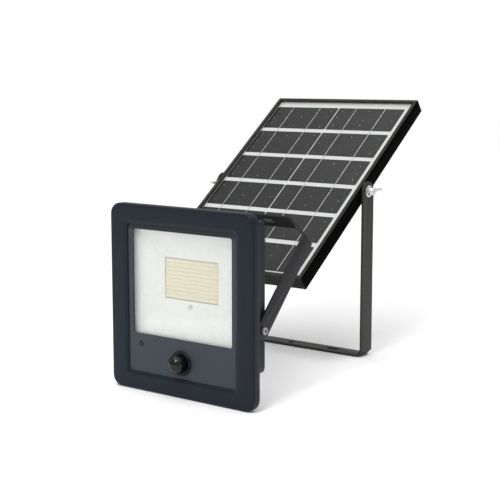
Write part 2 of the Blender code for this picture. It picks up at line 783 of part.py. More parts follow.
def solar_unit(looks):
    bracket_axis = empty("bracket_axis", (PANEL_X, PANEL_Y, PANEL_PIVOT_Z))
    reach = -(PANEL_PIVOT_Z - STRAP_T / 2)
    bracket, holes = strap(
        "panel_bracket", STRAP_HALF, reach, STRAP_W, STRAP_T, STRAP_BEND, STUD_HOLE_R,
        looks["strap"], bracket_axis,
    )
    base = [slot(0.020, 0.008, x, reach, STRAP_T) for x in (-0.075, 0.075)]
    base.append(disc(0.0045, -STRAP_T, STRAP_T, "Z", (0, 0, reach)))
    combine(bracket, "DIFFERENCE", holes + base)

    # The tilt axis runs through the studs; the panel's own pieces are placed from its middle.
    tilt_axis = empty("panel_axis", (PANEL_X, PANEL_Y, PANEL_PIVOT_Z), PANEL_TILT)
    middle = empty("panel_middle", (0, 0, -STUD_Z), 0, tilt_axis)
    panel_frame(looks, middle)
    laminate(looks, middle)
    junction_box(looks, middle)
    tilt_hardware(looks, tilt_axis)


def clear_scene():
    for old in list(bpy.data.objects):
        bpy.data.objects.remove(old, do_unlink=True)


def main():
    clear_scene()
    looks = materials()
    lamp(looks)
    solar_unit(looks)


main()
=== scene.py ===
"""Looks of the solar flood light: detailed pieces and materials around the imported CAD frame.

Everything is in metres in the row frame. The lamp faces -Y, and the panel stands behind it.
"""

import json
import math
import random

import bmesh
import bpy
from mathutils import Matrix, Vector


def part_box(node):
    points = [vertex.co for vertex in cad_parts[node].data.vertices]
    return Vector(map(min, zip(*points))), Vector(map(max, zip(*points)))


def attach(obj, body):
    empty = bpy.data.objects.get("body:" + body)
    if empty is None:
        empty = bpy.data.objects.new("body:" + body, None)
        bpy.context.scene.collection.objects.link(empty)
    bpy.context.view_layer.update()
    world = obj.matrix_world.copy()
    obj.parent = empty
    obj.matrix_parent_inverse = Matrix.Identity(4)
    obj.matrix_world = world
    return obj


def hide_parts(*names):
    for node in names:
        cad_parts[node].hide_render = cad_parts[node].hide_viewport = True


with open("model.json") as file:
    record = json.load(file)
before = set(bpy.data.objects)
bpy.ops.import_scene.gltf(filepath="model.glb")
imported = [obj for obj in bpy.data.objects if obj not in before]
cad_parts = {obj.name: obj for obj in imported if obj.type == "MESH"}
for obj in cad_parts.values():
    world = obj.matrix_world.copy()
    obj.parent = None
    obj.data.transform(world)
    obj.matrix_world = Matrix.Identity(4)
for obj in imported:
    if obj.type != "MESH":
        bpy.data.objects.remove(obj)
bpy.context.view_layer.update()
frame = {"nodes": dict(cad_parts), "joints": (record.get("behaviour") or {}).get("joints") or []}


# ---------------------------------------------------------------- places, read from the frame
def local_box(node, back):
    """The lowest and highest corners of a CAD node in a tilted frame; back leads from the row to it."""
    points = [back @ vertex.co for vertex in frame["nodes"][node].data.vertices]
    low = Vector([min(point[axis] for point in points) for axis in range(3)])
    high = Vector([max(point[axis] for point in points) for axis in range(3)])
    return low, high


def half_width(node):
    low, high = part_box(node)
    return (high.x - low.x) / 2


def reach(node, joint):
    """How far out the inner and the outer end of a node lie along a joint's axis."""
    low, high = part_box(node)
    middle = joint["pos_m"][0]
    ends = (abs(low.x - middle), abs(high.x - middle))
    return min(ends), max(ends)


JOINTS = {joint["name"]: joint for joint in frame["joints"]}
HEAD_TILT = JOINTS["head_tilt"]
PANEL_TILT = JOINTS["panel_tilt"]
HERE = Matrix.Identity(4)

# LAMP leads to the row from the lamp's own frame: X across from its middle, Y back, Z up.
BEZEL_LOW, BEZEL_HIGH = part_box("front_bezel")
HEAD_HALF = half_width("front_bezel")
HEAD_H = BEZEL_HIGH.z - BEZEL_LOW.z
BEZEL_DEPTH = BEZEL_HIGH.y - BEZEL_LOW.y
LAMP = Matrix.Translation((BEZEL_LOW.x + HEAD_HALF, BEZEL_LOW.y, BEZEL_LOW.z))
LAMP_BACK = LAMP.inverted()

# PANEL leads to the row from the panel's own frame: X across, Y up its slope, Z out of its glass.
STUD_DROP = 0.003  # the tilt axis lies this far behind the middle of the panel's thickness
TILT_AXIS = Matrix.Translation(PANEL_TILT["pos_m"])
LEVEL_TO_PANEL = Matrix.Rotation(-math.radians(PANEL_TILT["range_deg"][0]), 4, "X")
PANEL = TILT_AXIS @ LEVEL_TO_PANEL @ Matrix.Translation((0, 0, STUD_DROP))
PANEL_BACK = PANEL.inverted()
STRAP_OUT = half_width("panel_bracket")

HEAD_AXIS = Matrix.Translation(HEAD_TILT["pos_m"])
YOKE_OUT = half_width("lamp_yoke")
YOKE_LEAN = -math.radians(HEAD_TILT["range_deg"][0])
YOKE_INWARD = Vector((0, -math.sin(YOKE_LEAN), -math.cos(YOKE_LEAN)))  # from the crossbar to the head

GAP = 0.0003  # between two parts that lie on each other
SMOOTH_ANGLE = math.radians(32)
SIDES = (("left", -1), ("right", 1))


# ---------------------------------------------------------------- objects in the scene
def mesh_data(name, mesh):
    """Blender's mesh data from a bmesh, which is freed."""
    data = bpy.data.meshes.new(name)
    mesh.to_mesh(data)
    mesh.free()
    return data


def in_scene(name, data):
    made = bpy.data.objects.new(name, data)
    bpy.context.scene.collection.objects.link(made)
    return made


# ---------------------------------------------------------------- camera, light and floor
CAMERA_PLACE = Vector((1.0217, -1.3624, 0.4066))
CAMERA_AZIMUTH = math.radians(37.47)
CAMERA_PITCH = math.radians(8.31)
CAMERA_LENS = 86.4
SENSOR_WIDTH = 36
FAR_CLIP = 50
FLOOR_RADIUS = 9.0
FLOOR_DROP = 0.0002  # below the lowest point of the CAD model
ROOM_LIGHT = 0.55  # how bright the room is to the object, where the backdrop is 1
WHITE = (1.0, 1.0, 1.0, 1.0)


def make_camera():
    data = bpy.data.cameras.new("camera")
    data.lens = CAMERA_LENS
    data.sensor_width = SENSOR_WIDTH
    data.clip_end = FAR_CLIP
    level = math.cos(CAMERA_PITCH)
    ahead = Vector((
        -math.sin(CAMERA_AZIMUTH) * level,
        math.cos(CAMERA_AZIMUTH) * level,
        -math.sin(CAMERA_PITCH),
    ))
    camera = in_scene("camera", data)
    camera.location = CAMERA_PLACE
    camera.rotation_euler = ahead.to_track_quat("-Z", "Y").to_euler()
    bpy.context.scene.camera = camera


def mix_shaders(tree, factor, first, second):
    """A Mix Shader node between the outputs of two shader nodes."""
    made = tree.nodes.new("ShaderNodeMixShader")
    for start, socket in zip((factor, first.outputs[0], second.outputs[0]), made.inputs):
        tree.links.new(start, socket)
    return made


def make_world():
    """A white backdrop in a dimmer white room."""
    world = bpy.data.worlds.new("studio")
    world.use_nodes = True
    tree = world.node_tree
    room = tree.nodes["Background"]
    room.inputs["Color"].default_value = WHITE
    room.inputs["Strength"].default_value = ROOM_LIGHT
    backdrop = tree.nodes.new("ShaderNodeBackground")
    backdrop.inputs["Color"].default_value = WHITE
    straight = tree.nodes.new("ShaderNodeLightPath").outputs["Is Camera Ray"]
    seen = mix_shaders(tree, straight, room, backdrop)
    tree.links.new(seen.outputs[0], tree.nodes["World Output"].inputs["Surface"])
    bpy.context.scene.world = world
    bpy.context.scene.view_settings.view_transform = "Standard"


def light(name, kind, place, power):
    data = bpy.data.lights.new(name, kind)
    data.energy = power
    lamp = in_scene(name, data)
    lamp.location = place
    return lamp


def disk_light(name, place, target, size, power):
    """A round lamp that faces its target."""
    lamp = light(name, "AREA", place, power)
    lamp.data.shape = "DISK"
    lamp.data.size = size
    aim = Vector(target) - Vector(place)
    lamp.rotation_euler = aim.to_track_quat("-Z", "Y").to_euler()
    return lamp


def make_lights():
    """A key light high in front, a small low one close to the lamp, and a wide sun for the floor."""
    disk_light("key_light", (0.35, -1.6, 2.1), (0, 0, 0.15), 0.8, 24)
    low = disk_light("low_light", (-0.25, -0.62, 0.05), (0.05, -0.24, 0.05), 0.2, 0.6)
    low.visible_glossy = False
    overhead = light("top_light", "SUN", (0, 0, 2), 1.6)
    overhead.data.angle = math.radians(70)


def make_floor(look):
    mesh = bmesh.new()
    bmesh.ops.create_circle(mesh, cap_ends=True, radius=FLOOR_RADIUS, segments=96)
    data = mesh_data("floor", mesh)
    data.materials.append(look)
    floor = in_scene("floor", data)
    floor.location = (0, 0, -FLOOR_DROP)


# ---------------------------------------------------------------- material nodes
NOISE_LOW, NOISE_HIGH = 0.3, 0.7  # nearly all values of a noise texture lie between these


def shade(colour, factor):
    return tuple(min(1.0, part * factor) for part in colour)


def grey(level):
    return (level, level, level)


class Surface:
    """One material and the few kinds of node that the looks below are made from."""

    def __init__(self, name):
        self.material = bpy.data.materials.new(name)
        self.material.use_nodes = True
        self.tree = self.material.node_tree
        self.shader = self.tree.nodes["Principled BSDF"]
        self.place = self.tree.nodes.new("ShaderNodeTexCoord").outputs["Object"]

    def link(self, start, end):
        self.tree.links.new(start, end)

    def node(self, kind, **inputs):
        """A node with some inputs set; an underscore in a name stands for a space."""
        made = self.tree.nodes.new(kind)
        for name, value in inputs.items():
            made.inputs[name.replace("_", " ")].default_value = value
        return made

    def noise(self, scale, detail, stretch=None):
        made = self.node("ShaderNodeTexNoise", Scale=scale, Detail=detail)
        place = self.place
        if stretch:
            mapping = self.node("ShaderNodeMapping", Scale=stretch)
            self.link(place, mapping.inputs["Vector"])
            place = mapping.outputs["Vector"]
        self.link(place, made.inputs["Vector"])
        return made.outputs["Fac"]

    def patches(self, scale, distance="EUCLIDEAN"):
        """The distance to the middle of each patch of a Voronoi texture."""
        made = self.node("ShaderNodeTexVoronoi", Scale=scale)
        made.distance = distance
        self.link(self.place, made.inputs["Vector"])
        return made.outputs["Distance"]

    def ramp(self, factor, low, high):
        """A colour that turns from one to another; low and high are each a factor and its colour."""
        made = self.tree.nodes.new("ShaderNodeValToRGB")
        for element, (position, colour) in zip(made.color_ramp.elements, (low, high)):
            element.position = position
            element.color = (*colour, 1.0)
        self.link(factor, made.inputs["Fac"])
        return made.outputs["Color"]

    def mottled(self, noise, low, high):
        """A colour that turns from low to high with a noise."""
        return self.ramp(noise, (NOISE_LOW, low), (NOISE_HIGH, high))

    def span(self, factor, low, high, at_low=0.0, at_high=1.0):
        """Maps factor from at_low...at_high to low...high, held at the ends."""
        made = self.node(
            "ShaderNodeMapRange", From_Min=at_low, From_Max=at_high, To_Min=low, To_Max=high
        )
        self.link(factor, made.inputs["Value"])
        return made.outputs["Result"]

    def uneven(self, noise, middle, below, above):
        """A roughness that strays from its middle with a noise."""
        return self.span(noise, middle - below, middle + above, NOISE_LOW, NOISE_HIGH)

    def times(self, colour, factor):
        """The socket of a colour multiplied by another socket's colour or number."""
        made = self.tree.nodes.new("ShaderNodeMix")
        made.data_type = "RGBA"
        made.blend_type = "MULTIPLY"
        made.inputs[0].default_value = 1.0
        self.link(colour, made.inputs[6])
        self.link(factor, made.inputs[7])
        return made.outputs[2]

    def bump(self, height, strength, distance, under=None):
        made = self.node("ShaderNodeBump", Strength=strength, Distance=distance)
        self.link(height, made.inputs["Height"])
        if under is not None:
            self.link(under, made.inputs["Normal"])
        return made.outputs["Normal"]

    def finish(self, colour, roughness, normal=None):
        """The material, from the sockets of its colour and normal and a number or socket of roughness."""
        self.link(colour, self.shader.inputs["Base Color"])
        if isinstance(roughness, float):
            self.shader.inputs["Roughness"].default_value = roughness
        else:
            self.link(roughness, self.shader.inputs["Roughness"])
        if normal is not None:
            self.link(normal, self.shader.inputs["Normal"])
        return self.material


# ---------------------------------------------------------------- materials
def powder_coat(name, colour, roughness, specular, painted_shadow_between=None):
    """Powder paint with fine orange peel and faint mottling. It can also carry a painted shadow that
    darkens it upwards between two heights.
    """
    made = Surface(name)
    mottle = made.noise(22, 3)
    speck = made.noise(2600, 2)
    body = made.mottled(mottle, shade(colour, 0.96), shade(colour, 1.04))
    body = made.times(body, made.ramp(speck, (0.35, grey(0.90)), (0.65, grey(1.0))))
    if painted_shadow_between:
        # Painted shadow: the colour falls to 0.4 of itself from the lower height to the upper one.
        height = made.node("ShaderNodeSeparateXYZ")
        made.link(made.place, height.inputs[0])
        body = made.times(body, made.span(height.outputs["Z"], 1.0, 0.4, *painted_shadow_between))
    peel = made.bump(made.noise(1400, 2), 0.22, 0.0002)
    normal = made.bump(speck, 0.12, 0.0001, peel)
    made.shader.inputs["Specular IOR Level"].default_value = specular
    return made.finish(body, made.uneven(mottle, roughness, 0.03, 0.03), normal)


def moulded_plastic(name, colour, roughness, specular):
    """Injection-moulded plastic with a very fine spark-eroded grain."""
    made = Surface(name)
    grain = made.noise(3200, 2)
    body = made.mottled(made.noise(60, 3), shade(colour, 0.85), shade(colour, 1.15))
    made.shader.inputs["Specular IOR Level"].default_value = specular
    return made.finish(body, made.uneven(grain, roughness, 0.04, 0.05), made.bump(grain, 0.12, 0.0001))


def zinc_plate(name, tone):
    """Bright zinc plating, slightly cloudy, with fine turning marks."""
    made = Surface(name)
    cloud = made.noise(240, 4)
    marks = made.noise(900, 2, (1.0, 6.0, 6.0))
    body = made.mottled(cloud, (tone * 0.86, tone * 0.87, tone * 0.88), grey(tone))
    made.shader.inputs["Metallic"].default_value = 0.75
    return made.finish(body, made.uneven(cloud, 0.30, 0.08, 0.08), made.bump(marks, 0.08, 0.0001))


def clear_pane(name, haze, roughness, least, power):
    """Clear glass with a thin veil of haze. Its mirror grows from least with a power of the slant."""
    made = Surface(name)
    clear = made.node("ShaderNodeBsdfTransparent", Color=(0.985, 0.99, 0.985, 1.0))
    veil = made.node("ShaderNodeBsdfDiffuse", Color=(0.92, 0.92, 0.90, 1.0))
    mirror = made.node("ShaderNodeBsdfGlossy", Roughness=roughness, Color=WHITE)
    dust = made.span(made.noise(90, 4), haze * 0.7, haze * 1.3, 0.35, 0.65)
    hazy = mix_shaders(made.tree, dust, clear, veil)
    slant = made.node("ShaderNodeMath")
    slant.operation = "POWER"
    made.link(made.node("ShaderNodeLayerWeight", Blend=0.5).outputs["Facing"], slant.inputs[0])
    slant.inputs[1].default_value = power
    glass = mix_shaders(made.tree, made.span(slant.outputs[0], least, 0.8), hazy, mirror)
    made.tree.nodes.remove(made.shader)
    made.link(glass.outputs[0], made.tree.nodes["Material Output"].inputs["Surface"])
    return made.material


def white_enamel(name, colour, roughness):
    """Painted or laminated white with very faint unevenness."""
    made = Surface(name)
    cloud = made.noise(70, 4)
    body = made.mottled(cloud, shade(colour, 0.975), colour)
    fine = made.bump(made.noise(1800, 2), 0.05, 0.0001)
    return made.finish(body, made.uneven(cloud, roughness, 0.05, 0.05), fine)


def dark_silicon(name):
    """Dark cells, each with a tone of its own and faint crystal mottling."""
    made = Surface(name)
    own = made.node("ShaderNodeNewGeometry").outputs["Random Per Island"]
    tone = made.ramp(own, (0.0, (0.015, 0.015, 0.0155)), (1.0, (0.020, 0.0197, 0.0194)))
    fleck = made.ramp(made.patches(150.0), (0.0, (0.94, 0.94, 0.95)), (1.0, (1.03, 1.03, 1.02)))
    made.shader.inputs["Specular IOR Level"].default_value = 0.24
    return made.finish(made.times(tone, fleck), 0.30)


def phosphor(name, colour):
    """Yellow silicone over the LED chips, a little uneven."""
    made = Surface(name)
    cloud = made.noise(420, 3)
    body = made.mottled(cloud, shade(colour, 0.94), colour)
    return made.finish(body, 0.42, made.bump(cloud, 0.1, 0.0002))


def circuit_board(name):
    """Solder-masked board with faint copper tracks."""
    made = Surface(name)
    tracks = made.patches(220.0, "CHEBYCHEV")
    body = made.ramp(tracks, (0.42, (0.012, 0.085, 0.035)), (0.5, (0.03, 0.16, 0.07)))
    return made.finish(body, 0.4, made.bump(tracks, 0.1, 0.0002))


def shrink_sleeve(name):
    """Blue shrink sleeve of a battery cell."""
    made = Surface(name)
    folds = made.noise(160, 3, (0.2, 1.0, 1.0))
    body = made.mottled(folds, (0.015, 0.07, 0.26), (0.03, 0.11, 0.36))
    return made.finish(body, 0.32, made.bump(folds, 0.2, 0.0004))


def studio_floor(name):
    made = Surface(name)
    return made.finish(made.mottled(made.noise(3, 2), grey(0.97), grey(0.985)), 0.7)


LOOKS = {
    "anthracite": powder_coat("anthracite_paint", (0.0105, 0.0142, 0.0215), 0.38, 0.13),
    # The plate darkens upwards near the top of the window: a painted shadow of the bezel's top edge.
    "plate": powder_coat("anthracite_plate", (0.038, 0.045, 0.0555), 0.46, 0.18, (0.2095, 0.2125)),
    "yoke": powder_coat("yoke_paint", (0.0145, 0.0142, 0.0180), 0.40, 0.18),
    # A darker copy of the yoke paint: painted shade on the crossbar's face towards the head.
    "yoke_painted_shade": powder_coat("yoke_paint_painted_shade", (0.0038, 0.0035, 0.0050), 0.5, 0.06),
    "bracket": powder_coat("bracket_paint", (0.028, 0.029, 0.023), 0.46, 0.22),
    "frame": powder_coat("frame_black", (0.018, 0.018, 0.014), 0.45, 0.18),
    # A near-black copy of the frame paint: painted shade on the long rails' outer side walls.
    "frame_painted_shade": powder_coat("frame_black_painted_shade", grey(0.0012), 0.7, 0.02),
    "window": clear_pane("window_glass", 0.06, 0.05, 0.012, 5.0),
    "panel_glass": clear_pane("panel_glass", 0.0, 0.12, 0.0, 11.0),
    "rubber": moulded_plastic("black_rubber", (0.016, 0.017, 0.019), 0.66, 0.3),
    "reflector": white_enamel("white_reflector", (0.68, 0.68, 0.67), 0.42),
    "board_white": white_enamel("white_board", (0.55, 0.54, 0.50), 0.5),
    "backsheet": white_enamel("white_backsheet", grey(0.60), 0.5),
    "phosphor": phosphor("yellow_phosphor", (0.68, 0.635, 0.475)),
    "dam": phosphor("yellow_dam", (0.63, 0.565, 0.395)),
    "board": circuit_board("green_board"),
    "gloss": moulded_plastic("black_gloss", (0.003, 0.003, 0.0035), 0.16, 0.38),
    "plastic": moulded_plastic("black_plastic", (0.008, 0.009, 0.011), 0.34, 0.25),
    "zinc": zinc_plate("zinc_steel", 0.72),
    "sleeve": shrink_sleeve("cell_sleeve"),
    "silicon": dark_silicon("dark_silicon"),
    "tin": zinc_plate("tinned_ribbon", 0.58),
    "steel": zinc_plate("steel_bolt", 0.34),
}


# ---------------------------------------------------------------- meshes
CORNER_STEPS = 7
LEAST_RADIUS = 0.0003
MERGE_DISTANCE = 1e-6
PLAIN_ANGLE = math.radians(0.6)  # triangles within this of each other belong to one face


def arc(centre, radius, start, end, steps):
    """(u, v) points on an arc, in degrees."""
    points = []
    for step in range(steps + 1):
        angle = math.radians(start + (end - start) * step / steps)
        points.append((centre[0] + radius * math.cos(angle), centre[1] + radius * math.sin(angle)))
    return points


def grown(rectangle, amount):
    """(x, z) points of a rounded rectangle (half width, bottom, top, radius) grown out by amount."""
    half, bottom, top, radius = rectangle
    radius = max(radius + amount, LEAST_RADIUS)
    across = half + amount - radius
    low, high = bottom - amount + radius, top + amount - radius
    corners = ((across, low, -90), (across, high, 0), (-across, high, 90), (-across, low, 180))
    points = []
    for x, z, start in corners:
        points += arc((x, z), radius, start, start + 90, CORNER_STEPS)
    return points


def frontal(outline, y):
    return [Vector((x, y, z)) for x, z in outline]


def loft(loops, ring=False):
    """A skin from loop to loop, which is capped at both ends or runs back to its first loop."""
    mesh = bmesh.new()
    rings = [[mesh.verts.new(point) for point in loop] for loop in loops]
    pairs = list(zip(rings, rings[1:]))
    if ring:
        pairs.append((rings[-1], rings[0]))
    else:
        mesh.faces.new(rings[0])
        mesh.faces.new(rings[-1])
    for lower, upper in pairs:
        count = len(lower)
        for i in range(count):
            after = (i + 1) % count
            mesh.faces.new((lower[i], lower[after], upper[after], upper[i]))
    return mesh


def turned(profile, axis, centre=(0, 0, 0), sides=48):
    """A closed (radius, height) profile turned about axis; points on the axis have radius 0."""
    turn = {
        "X": Matrix.Rotation(math.pi / 2, 4, "Y"),
        "Y": Matrix.Rotation(-math.pi / 2, 4, "X"),
        "Z": Matrix.Identity(4),
    }[axis]
    place = Matrix.Translation(Vector(centre)) @ turn
    mesh = bmesh.new()
    rings = []
    for radius, height in profile:
        if radius == 0:
            rings.append([mesh.verts.new(place @ Vector((0, 0, height)))] * sides)
            continue
        ring = []
        for i in range(sides):
            angle = 2 * math.pi * (i + 0.5) / sides
            ring.append(mesh.verts.new(
                place @ Vector((radius * math.cos(angle), radius * math.sin(angle), height))
            ))
        rings.append(ring)
    for lower, upper in zip(rings, rings[1:] + rings[:1]):
        for i in range(sides):
            after = (i + 1) % sides
            corners = dict.fromkeys((lower[i], lower[after], upper[after], upper[i]))
            if len(corners) > 2:
                mesh.faces.new(tuple(corners))
    return mesh


def slab(low, high):
    mesh = bmesh.new()
    bmesh.ops.create_cube(mesh, size=1)
    low, high = Vector(low), Vector(high)
    place = Matrix.Translation((low + high) / 2) @ Matrix.Diagonal((*(high - low), 1))
    bmesh.ops.transform(mesh, matrix=place, verts=mesh.verts)
    return mesh


def gathered(meshes):
    """Several bmeshes as one."""
    whole = bmesh.new()
    for mesh in meshes:
        data = mesh_data("gather", mesh)
        whole.from_mesh(data)
        bpy.data.meshes.remove(data)
    return whole


def from_node(node):
    """The CAD node's own shape with its triangles merged into plain faces, ready for rounded edges."""
    mesh = bmesh.new()
    mesh.from_mesh(frame["nodes"][node].data)
    bmesh.ops.remove_doubles(mesh, verts=mesh.verts, dist=MERGE_DISTANCE)
    bmesh.ops.dissolve_limit(mesh, angle_limit=PLAIN_ANGLE, verts=mesh.verts, edges=mesh.edges)
    return mesh


# ---------------------------------------------------------------- pieces
def placed_data(name, mesh, place):
    """Mesh data with its faces turned outwards, moved from its own frame to the row's."""
    bmesh.ops.transform(mesh, matrix=place, verts=mesh.verts)
    bmesh.ops.recalc_face_normals(mesh, faces=mesh.faces)
    return mesh_data(name, mesh)


def make(name, mesh, place, look, body, nodes=(), bevel=0.0, segments=3):
    """Puts a mesh in place as a piece that rides on a body and stands for CAD nodes."""
    data = placed_data(name, mesh, place)
    data.materials.append(LOOKS[look])
    data.shade_smooth()
    made = in_scene(name, data)
    if bevel:
        edge = made.modifiers.new("rounded_edges", "BEVEL")
        edge.width = bevel
        edge.segments = segments
        edge.limit_method = "ANGLE"
        edge.angle_limit = SMOOTH_ANGLE
        edge.harden_normals = True
    else:
        data.set_sharp_from_angle(angle=SMOOTH_ANGLE)
    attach(made, body)
    if nodes:
        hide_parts(*nodes)
    return made


def carve(target, meshes, place):
    """Cuts the meshes out of a piece for good."""
    for number, mesh in enumerate(meshes):
        name = f"cutter_{number}"
        cutter = in_scene(name, placed_data(name, mesh, place))
        step = target.modifiers.new("cut", "BOOLEAN")
        step.operation = "DIFFERENCE"
        step.solver = "EXACT"
        step.object = cutter
        bpy.context.view_layer.update()
        graph = bpy.context.evaluated_depsgraph_get()
        result = bpy.data.meshes.new_from_object(target.evaluated_get(graph))
        target.modifiers.remove(step)
        old = target.data
        target.data = result
        bpy.data.meshes.remove(old)
        bpy.data.objects.remove(cutter)
    target.data.shade_smooth()
    target.data.set_sharp_from_angle(angle=SMOOTH_ANGLE)


def second_look(piece, look, direction, least):
    """Gives a second material to the faces of a piece whose normals lie along a direction; in both uses
    it is a darker copy of the paint, painted shade.
    """
    piece.data.materials.append(LOOKS[look])
    for face in piece.data.polygons:
        if face.normal.dot(direction) > least:
            face.material_index = 1


# ---------------------------------------------------------------- lamp head
# Rounded rectangles are (half width, bottom, top, radius) in the lamp's frame.
OPENING = (0.089, 0.024, 0.218, 0.005)
WINDOW = (0.081, 0.075, 0.211, 0.0030)
LED_HOLE = (0.0440, 0.1215, 0.1750, 0.001)
PIR_Z = 0.045
IR_PLACE = (-0.068, 0.0615)  # x and z of the remote control's receiver

BEZEL_WALL = 0.003
BEZEL_CORNER_R = 0.015
BEZEL_FRONT_R = 0.0034
BEZEL_BACK_R = 0.0006
BEZEL_LIP = ((0.0008, 0.0024), 0.0008)  # centre, out from the opening and back, and radius
BEZEL_SLOPE = ((0.0046, 0.0020), 0.0020)
BEZEL_TURN = 245  # degrees, where the lip's arc ends and the slope's begins

# Depths behind the bezel's front: plate, gasket, pane and tray.
PLATE_FRONT = 0.0036
PLATE_BACK = 0.0056
GASKET_FRONT = PLATE_BACK + GAP
GASKET_BACK = PLATE_BACK + 0.0010
PANE_FRONT = GASKET_BACK + GAP
PANE_BACK = GASKET_BACK + 0.0033
TRAY_FRONT = PANE_BACK + GAP
TRAY_FLOOR = 0.0240

PLATE_LAP = 0.004
PLATE_CORNER_R = 0.008
WINDOW_CHAMFER = (0.0007, 0.0006)  # out from the window, and back
SENSOR_HOLE_R = 0.0145
RECEIVER_HOLE_R = 0.0038
DRILL_DEPTH = 0.01

SEAL_PLAY = 0.0015
PANE_LAP = 0.007
PANE_CORNER_R = 0.004

TRAY_PLAY = 0.0035
TRAY_WALL = 0.0015
TRAY_RIM = (WINDOW[0] + TRAY_PLAY, WINDOW[1] - TRAY_PLAY, WINDOW[2] + TRAY_PLAY, 0.0030)
SLOPE_START = (0.0008, 0.0012)  # in from the rim and back from the front, where the slopes start
SLOPE_END = (0.0012, 0.0002)  # out from the hole and forward from the floor, where they end
BOARD_SCREW_Z = 0.1142

LED_ROWS = 10
LED_COLUMNS = 18
LED_MARGIN = (0.00008, 0.0007)  # round each pad, across and up
LED_CROWN = (0.0005, 0.0002)  # how far a pad's front is drawn in, and over what depth
DAM_DEPTH = 0.0006

BOLT_SHANK_R = 0.0029
BOLT_HEAD_R = 0.0048
BOLT_ROUND = 0.0012
SOCKET_R = 0.0022
SOCKET_FLOOR_R = 0.0020
SOCKET_DEPTH = 0.0016


def front_bezel():
    """The outer frame, with a rounded front edge and a sloping inner one."""
    outer = (HEAD_HALF, 0.0, HEAD_H, BEZEL_CORNER_R)
    inner = arc(*BEZEL_LIP, 180, BEZEL_TURN, 3) + arc(*BEZEL_SLOPE, BEZEL_TURN, 270, 3)
    front = arc((-BEZEL_FRONT_R, BEZEL_FRONT_R), BEZEL_FRONT_R, -90, 0, 7)
    back = arc((-BEZEL_BACK_R, BEZEL_DEPTH - BEZEL_BACK_R), BEZEL_BACK_R, 0, 90, 3)
    loops = [frontal(grown(OPENING, out), depth) for out, depth in inner]
    loops += [frontal(grown(outer, out), depth) for out, depth in front + back]
    loops += [
        frontal(grown(outer, -BEZEL_WALL), BEZEL_DEPTH),
        frontal(grown(outer, -BEZEL_WALL), BEZEL_WALL),
        frontal(grown(OPENING, 0), BEZEL_WALL),
    ]
    make("bezel_frame", loft(loops, ring=True), LAMP, "anthracite", "head",
         ["front_bezel"])


def drill(radius, x, z):
    """A cutter that passes through the plate."""
    profile = [(0, 0.0), (radius, 0.0), (radius, DRILL_DEPTH), (0, DRILL_DEPTH)]
    return turned(profile, "Y", (x, 0, z))


def front_plate():
    """The recessed face, chamfered round the window, with holes for the sensor and the receiver."""
    outer = (OPENING[0] + PLATE_LAP, OPENING[1] - PLATE_LAP, OPENING[2] + PLATE_LAP, PLATE_CORNER_R)
    out, back = WINDOW_CHAMFER
    loops = [
        frontal(grown(WINDOW, 0), PLATE_BACK),
        frontal(grown(WINDOW, 0), PLATE_FRONT + back),
        frontal(grown(WINDOW, out), PLATE_FRONT),
        frontal(grown(outer, 0), PLATE_FRONT),
        frontal(grown(outer, 0), PLATE_BACK),
    ]
    made = make("face_plate", loft(loops, ring=True), LAMP, "plate", "head",
                ["front_plate"])
    holes = [drill(SENSOR_HOLE_R, 0, PIR_Z), drill(RECEIVER_HOLE_R, *IR_PLACE)]
    carve(made, holes, LAMP)


def light_window():
    """The rubber gasket and the pane of glass behind it."""
    half, bottom, top, _ = WINDOW
    seal = (half + SEAL_PLAY, bottom - SEAL_PLAY, top + SEAL_PLAY, PANE_CORNER_R)
    glass = (half + PANE_LAP, bottom - PANE_LAP, top + PANE_LAP, PANE_CORNER_R)
    gasket = [
        frontal(grown(seal, 0), GASKET_FRONT), frontal(grown(glass, 0), GASKET_FRONT),
        frontal(grown(glass, 0), GASKET_BACK), frontal(grown(seal, 0), GASKET_BACK),
    ]
    make("gasket_ring", loft(gasket, ring=True), LAMP, "rubber", "head",
         ["window_gasket"], bevel=0.0002, segments=2)
    pane = [frontal(grown(glass, 0), PANE_FRONT), frontal(grown(glass, 0), PANE_BACK)]
    make("glass_pane", loft(pane), LAMP, "window", "head",
         ["window_glass"], bevel=0.0003, segments=2)


def reflector_tray():
    """The white tray: four slopes from a lipped rim down to the hole for the LED field."""
    inward, behind = SLOPE_START
    outward, before = SLOPE_END
    loops = [
        frontal(grown(TRAY_RIM, TRAY_WALL), TRAY_FRONT),
        frontal(grown(TRAY_RIM, 0), TRAY_FRONT),
        frontal(grown(TRAY_RIM, -inward), TRAY_FRONT + behind),
        frontal(grown(LED_HOLE, outward), TRAY_FLOOR - before),
        frontal(grown(LED_HOLE, 0), TRAY_FLOOR),
        frontal(grown(LED_HOLE, 0), TRAY_FLOOR + TRAY_WALL),
        frontal(grown(LED_HOLE, TRAY_WALL), TRAY_FLOOR + TRAY_WALL),
        frontal(grown(TRAY_RIM, TRAY_WALL), TRAY_FRONT + TRAY_WALL),
    ]
    make("reflector_tray", loft(loops, ring=True), LAMP, "reflector", "head",
         ["reflector"])


def led_pad(x0, x1, z0, z1, front, back):
    """One pad: a box whose front face is drawn in to a soft crown."""
    inset, depth = LED_CROWN
    loops = []
    for cut, y in ((0, back), (0, front + depth), (inset, front)):
        loops.append([
            Vector((x0 + cut, y, z0 + cut)), Vector((x1 - cut, y, z0 + cut)),
            Vector((x1 - cut, y, z1 - cut)), Vector((x0 + cut, y, z1 - cut)),
        ])
    return loft(loops)


